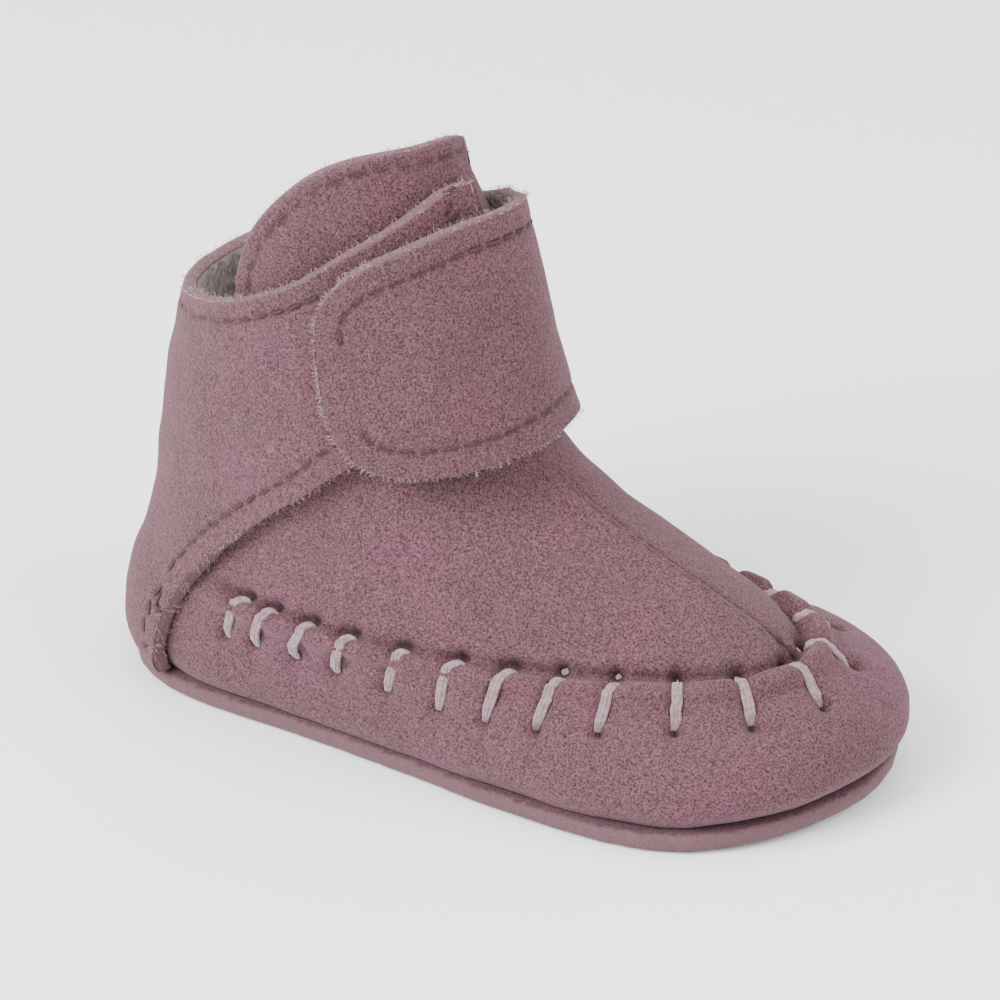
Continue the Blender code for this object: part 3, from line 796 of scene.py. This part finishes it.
cuff_bm = merged_copy("cuff")
strap_bm = merged_copy("strap")
cuff_bm.normal_update()
strap_bm.normal_update()
cuff_tree = BVHTree.FromBMesh(cuff_bm)
strap_tree = BVHTree.FromBMesh(strap_bm)
for bm, other in ((cuff_bm, strap_tree), (strap_bm, cuff_tree)):
    meeting = end_faces(bm, other)
    print("end faces:", len(meeting))
    bmesh.ops.delete(bm, geom=meeting, context="FACES")
strap_mesh = bpy.data.meshes.new("strap_draft")
strap_bm.to_mesh(strap_mesh)
strap_bm.free()
cuff_bm.from_mesh(strap_mesh)
bpy.data.meshes.remove(strap_mesh)
open_edges = [edge for edge in cuff_bm.edges if len(edge.link_faces) == 1]
print("open edges:", len(open_edges))
bmesh.ops.bridge_loops(cuff_bm, edges=open_edges)
band_bm = cuff_bm
sort_faces(band_bm, THICKNESS)
make_quads(band_bm)
band_bm = smoothed(band_bm, 2, crease=0.7)
split_outside(band_bm)
band_tree = outside_tree(band_bm)
band_skin = surface_of(band_bm)
print("band points:", len(band_skin["points"]))


# %% Stitches of cuff and strap
def band_margin(point):
    """The strap is sewn farther in than the cuff."""
    on_strap = min(max((point.x + 0.022) / 0.012, 0.0), 1.0) if point.z > 0.042 else 0.0
    return 0.0027 + 0.0010 * on_strap


band_stitches = []
for run in inset_path(band_bm, band_tree, band_margin, THICKNESS):
    band_stitches += stitches_along(run, 0.0031, 0.0018, lambda point: point.z > 0.0068)
band_runs = sew(band_skin, band_stitches, 0.00027)
BAND_CREASES = (
    ((-58, -8, 44), (-50, -20, 36), 3.6, 0.50),
    ((-57, 8, 40), (-50, 19, 34), 3.6, 0.45),
    ((-54, -16, 26), (-44, -22, 24), 3.2, 0.40),
    ((-38, -23, 40), (-28, -22, 52), 3.4, 0.35),
    ((-40, 22, 40), (-30, 22, 52), 3.4, 0.35),
    ((-56, -4, 54), (-46, -18, 54), 3.0, 0.30),
    ((2, -18, 60), (8, -12, 66), 3.2, 0.30),
    ((6, 6, 58), (9, -2, 64), 3.2, 0.30),
)
for start, end, width, depth in BAND_CREASES:
    groove(band_skin, Vector(start) * MM, Vector(end) * MM, width * MM, depth * MM)
undulate(band_skin, 80.0, 0.00042, 5.3)
undulate(band_skin, 240.0, 0.00013, 9.1)
band_piece = finished(band_bm, band_skin, "cuff_and_strap", [suede, lining], "suede", "cuff", "strap")
band_seam = thread_piece("cuff_stitches", band_runs, 0.00027, painted_shade_thread)

# %% [markdown]
# ## Fuzz on the cut edges
# A raw suede edge sheds: short pale fibres stand out of it. Hair particles would not reach
# an exported mesh, so each fibre is a thin bent thread of its own, strewn over the cut
# edges by a seeded random choice.


# %% Fuzz
def fuzz_runs(piece, count, reach, seed, low_edge=0.0):
    """Bent fibres that stand out of the vertices painted as rim."""
    choose = random.Random(seed)
    mesh = piece.data
    rim = [i for i, item in enumerate(mesh.attributes["rim"].data) if item.value > 0.5]
    rim = [i for i in rim if mesh.vertices[i].co.z > low_edge]
    runs = []
    for _ in range(count):
        vert = mesh.vertices[choose.choice(rim)]
        shake = Vector([choose.uniform(-1.0, 1.0) for _ in range(3)])
        way = (vert.normal + shake * 0.75).normalized()
        bend = Vector([choose.uniform(-0.5, 0.5) for _ in range(3)])
        length = reach * choose.uniform(0.45, 1.0)
        middle = vert.co + way * length * 0.55
        runs.append((vert.co - way * 0.0002, middle, middle + (way + bend).normalized() * length * 0.45))
    return runs


fibre = plain_finish(
    "edge_fibre", (0.20, 0.13, 0.14, 1.0), (0.36, 0.27, 0.28, 1.0), 900.0, 0.95, 0.0001, 0.3, 0.1
)
fibre_runs = fuzz_runs(band_piece, 2200, 0.0009, 11, 0.006) + fuzz_runs(tongue_piece, 500, 0.0007, 12, 0.055)
fuzz_piece = thread_piece("edge_fuzz", fibre_runs, 0.00003, fibre, 0)

# %% [markdown]
# ## Sole
# The sole is one flat cut of suede with two windows. Its CAD solid has long thin triangles
# round the windows, which subdivide badly, so the copy is remeshed with small voxels and
# smoothed: that also softens the cut edges. Round each window runs a line of stitches that
# holds the rubber behind it.

# %% Remeshed sole
sole_bm = merged_copy("outsole")
sole_mesh = bpy.data.meshes.new("sole_draft")
sole_bm.to_mesh(sole_mesh)
sole_bm.free()
sole_holder = bpy.data.objects.new("sole_draft", sole_mesh)
bpy.context.scene.collection.objects.link(sole_holder)
voxels = sole_holder.modifiers.new("voxels", "REMESH")
voxels.mode = "VOXEL"
voxels.voxel_size = 0.0006
easing = sole_holder.modifiers.new("easing", "SMOOTH")
easing.factor = 0.5
easing.iterations = 3
sole_bm = bmesh.new()
sole_bm.from_object(sole_holder, bpy.context.evaluated_depsgraph_get())
bpy.data.objects.remove(sole_holder)
bpy.data.meshes.remove(sole_mesh)
sole_bm.normal_update()
for face in sole_bm.faces:
    face.material_index = OUTER if abs(face.normal.z) > 0.6 else RIM
sole_tree = BVHTree.FromBMesh(sole_bm)
sole_skin = surface_of(sole_bm)
print("sole points:", len(sole_skin["points"]))


# %% Window stitches
def window_path(node, margin):
    """Line on the underside, a margin out from a grip's outline."""
    flat = [(vert.co.x, vert.co.y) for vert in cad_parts[node].data.vertices]
    ring = [Vector(flat[i]) for i in geometry.convex_hull_2d(flat)]
    middle = sum(ring, Vector((0.0, 0.0))) / len(ring)
    ring.sort(key=lambda p: atan2(p.y - middle.y, p.x - middle.x))
    path = []
    for i, point in enumerate(ring):
        along = (ring[(i + 1) % len(ring)] - ring[i - 1]).normalized()
        out = Vector((along.y, -along.x))
        place = point + out * margin
        hit, normal, _, _ = sole_tree.ray_cast(Vector((place.x, place.y, -0.01)), Vector((0.0, 0.0, 1.0)))
        if hit is not None:
            path.append((hit, Vector((0.0, 0.0, -1.0))))
    return path + path[:1]


sole_runs = []
for node in ("heel_grip", "forefoot_grip"):
    path = window_path(node, 0.0027)
    stitches = stitches_along(path, 0.0023, 0.0013, lambda point: True)
    sole_runs += sew(sole_skin, stitches, 0.00022, 0.00028, 0.7)
    print(node, "stitches:", len(stitches))
undulate(sole_skin, 120.0, 0.00006, 2.2)
sole_piece = finished(sole_bm, sole_skin, "sole_leather", [sole_suede], "sole_suede", "outsole")
sole_seam = thread_piece("window_stitches", sole_runs, 0.00022, painted_shade_thread)

# %% [markdown]
# ## Insole
# The padded sock lining fills the floor of the shoe. It is flat where it is glued down and
# slightly crowned on top, with a soft fleece face.

# %% Insole
insole_bm = merged_copy("insole")
insole_bm.normal_update()
make_quads(insole_bm)
insole_bm = smoothed(insole_bm, 2, crease=0.2)
insole_bm.normal_update()
for face in insole_bm.faces:
    face.material_index = OUTER if face.normal.z > 0.3 else RIM
insole_skin = surface_of(insole_bm)
undulate(insole_skin, 140.0, 0.00022, 4.4)
insole_piece = finished(insole_bm, insole_skin, "insole_pad", [lining], "lining", "insole")
